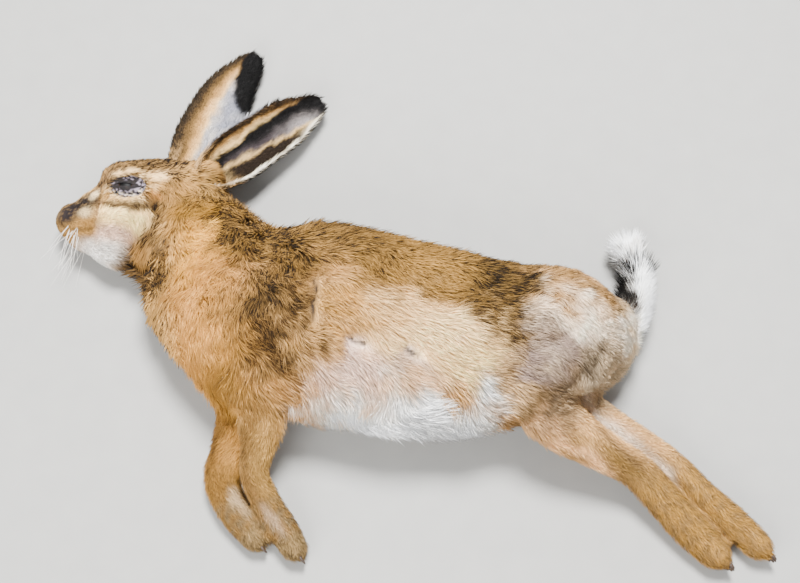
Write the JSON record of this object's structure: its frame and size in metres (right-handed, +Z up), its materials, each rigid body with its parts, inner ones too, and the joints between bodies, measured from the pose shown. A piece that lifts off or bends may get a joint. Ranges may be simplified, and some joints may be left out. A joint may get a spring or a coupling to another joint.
{
  "type": "brown hare",
  "caption": "Life-size brown hare lying flat on its right side, neck bent, long ears laid back, slim legs drawn towards the belly and a short fluffy tail, as a still museum model.",
  "frame": {"origin": "middle of the bounding box's base, on the floor under the flank", "axes": "+X from the nose towards the hind feet, +Y towards the hare's back and ears, +Z up through the body from its right side to its left"},
  "size_m": [0.6764, 0.526, 0.126],
  "materials": {
    "coat_back": "grizzled dark brown and buff fur",
    "coat_orange": "orange-buff fur of the neck and shoulders",
    "coat_flank": "pale sandy fur of the flank and cheeks",
    "coat_haunch": "grey-buff fur of the haunches",
    "coat_leg": "buff-orange fur of the lower legs",
    "coat_foot": "tan fur of the feet",
    "coat_ear": "short brown, grey and black fur of the ears",
    "coat_tail": "white fluffy fur with a black upper side",
    "eye": "dark brown, glossy and wet-looking",
    "claw": "dark horn, slightly glossy"
  },
  "bodies": {
    "root": {"neck": "coat_orange", "chest": "coat_orange", "loin": "coat_flank", "rump": "coat_back", "left_thigh": "coat_haunch", "right_thigh": "coat_haunch", "left_upper_arm": "coat_orange", "right_upper_arm": "coat_orange", "tail": "coat_tail", "left_forearm": "coat_leg", "left_forepaw": "coat_foot", "right_forearm": "coat_leg", "right_forepaw": "coat_foot", "left_shank": "coat_leg", "left_hind_foot": "coat_foot", "right_shank": "coat_leg", "right_hind_foot": "coat_foot", "left_forepaw_claw_1": "claw", "left_forepaw_claw_2": "claw", "left_forepaw_claw_3": "claw", "left_forepaw_claw_4": "claw", "right_forepaw_claw_1": "claw", "right_forepaw_claw_2": "claw", "right_forepaw_claw_3": "claw", "right_forepaw_claw_4": "claw", "left_hind_foot_claw_1": "claw", "left_hind_foot_claw_2": "claw", "left_hind_foot_claw_3": "claw", "left_hind_foot_claw_4": "claw", "right_hind_foot_claw_1": "claw", "right_hind_foot_claw_2": "claw", "right_hind_foot_claw_3": "claw", "right_hind_foot_claw_4": "claw", "head": "coat_flank", "left_eye": "eye", "right_eye": "eye", "left_ear": "coat_ear", "right_ear": "coat_ear"}
  },
  "joints": []
}
